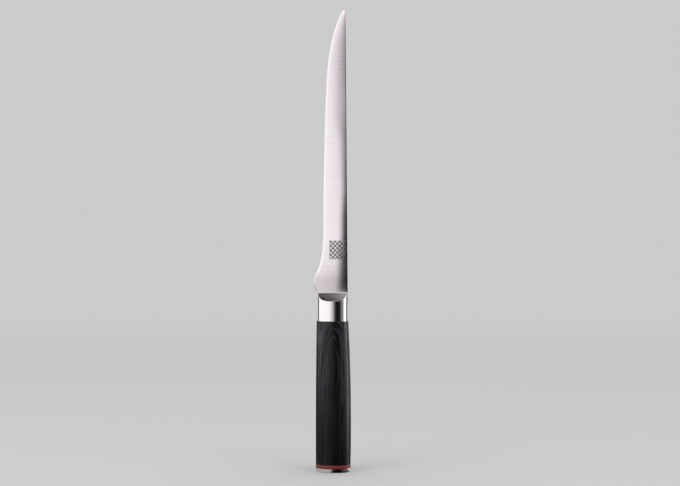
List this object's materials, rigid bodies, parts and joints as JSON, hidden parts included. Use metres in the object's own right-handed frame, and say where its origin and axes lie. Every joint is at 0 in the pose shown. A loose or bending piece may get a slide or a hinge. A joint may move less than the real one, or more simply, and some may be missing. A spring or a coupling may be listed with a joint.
{
  "type": "fillet knife",
  "caption": "Long narrow fillet knife with a curved tapering blade, a heel bump, a polished oval bolster, a black wood handle, a red spacer and a steel end cap.",
  "frame": {"origin": "middle of the flat butt that the knife stands on, on the axis of the tang", "axes": "+Z from the butt to the tip, +X from the cutting edge to the spine, +Y towards one cheek of the blade"},
  "size_m": [0.0268, 0.0203, 0.3295],
  "materials": {
    "blade_steel": "satin, ground along the width",
    "polished_steel": "mirror polished",
    "black_wood": "black stained laminated wood with open grain, waxed",
    "plain_steel": "bright zinc",
    "red_fibre": "satin, ground flush",
    "cap_steel": "polished"
  },
  "bodies": {
    "root": {"blade": "blade_steel", "bolster": "polished_steel", "handle": "black_wood", "tang_rod": "plain_steel", "tang_washer": "plain_steel", "tang_nut": "plain_steel", "red_liner": "red_fibre", "end_cap": "cap_steel"}
  },
  "joints": []
}
